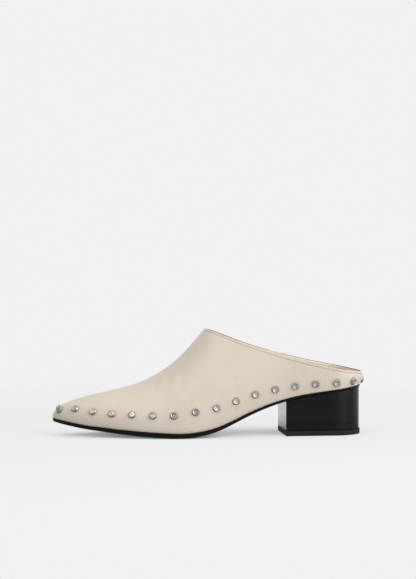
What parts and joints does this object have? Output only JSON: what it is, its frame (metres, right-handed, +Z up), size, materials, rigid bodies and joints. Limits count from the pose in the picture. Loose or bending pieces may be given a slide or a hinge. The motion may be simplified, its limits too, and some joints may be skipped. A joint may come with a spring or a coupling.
{
  "type": "mule shoe",
  "caption": "Pointed backless leather mule for the left foot, with studs round its sides, a leather sole and a low stacked block heel.",
  "frame": {"origin": "bottom centre of the bounding box, on the floor the shoe stands on", "axes": "+Z up, -X towards the toe, +X towards the heel, -Y the lateral side, +Y the medial side"},
  "size_m": [0.2742, 0.0808, 0.0924],
  "materials": {
    "upper_leather": "smooth cream calf leather with a soft sheen",
    "lining_leather": "matt pinkish beige lining leather",
    "insole_leather": "matt pinkish beige leather sock",
    "sole_leather": "black polished edge, matt underside",
    "stacked_heel": "black polished stack with fine layer lines",
    "lift_rubber": "matt black rubber",
    "stud_steel": "polished steel with a grey patina in the dish",
    "thread": "waxed cream thread"
  },
  "bodies": {
    "root": {"upper": "upper_leather", "insole": "insole_leather", "outsole": "sole_leather", "heel": "stacked_heel", "top_lift": "lift_rubber", "stud_lateral_01": "stud_steel", "stud_lateral_02": "stud_steel", "stud_lateral_03": "stud_steel", "stud_lateral_04": "stud_steel", "stud_lateral_05": "stud_steel", "stud_lateral_06": "stud_steel", "stud_lateral_07": "stud_steel", "stud_lateral_08": "stud_steel", "stud_lateral_09": "stud_steel", "stud_lateral_10": "stud_steel", "stud_lateral_11": "stud_steel", "stud_lateral_12": "stud_steel", "stud_lateral_13": "stud_steel", "stud_lateral_14": "stud_steel", "stud_lateral_15": "stud_steel", "stud_lateral_16": "stud_steel", "stud_medial_01": "stud_steel", "stud_medial_02": "stud_steel", "stud_medial_03": "stud_steel", "stud_medial_04": "stud_steel", "stud_medial_05": "stud_steel", "stud_medial_06": "stud_steel", "stud_medial_07": "stud_steel", "stud_medial_08": "stud_steel", "stud_medial_09": "stud_steel", "stud_medial_10": "stud_steel", "stud_medial_11": "stud_steel", "stud_medial_12": "stud_steel", "stud_medial_13": "stud_steel", "stud_medial_14": "stud_steel", "stud_medial_15": "stud_steel", "stud_medial_16": "stud_steel", "stud_back": "stud_steel"}
  },
  "joints": []
}
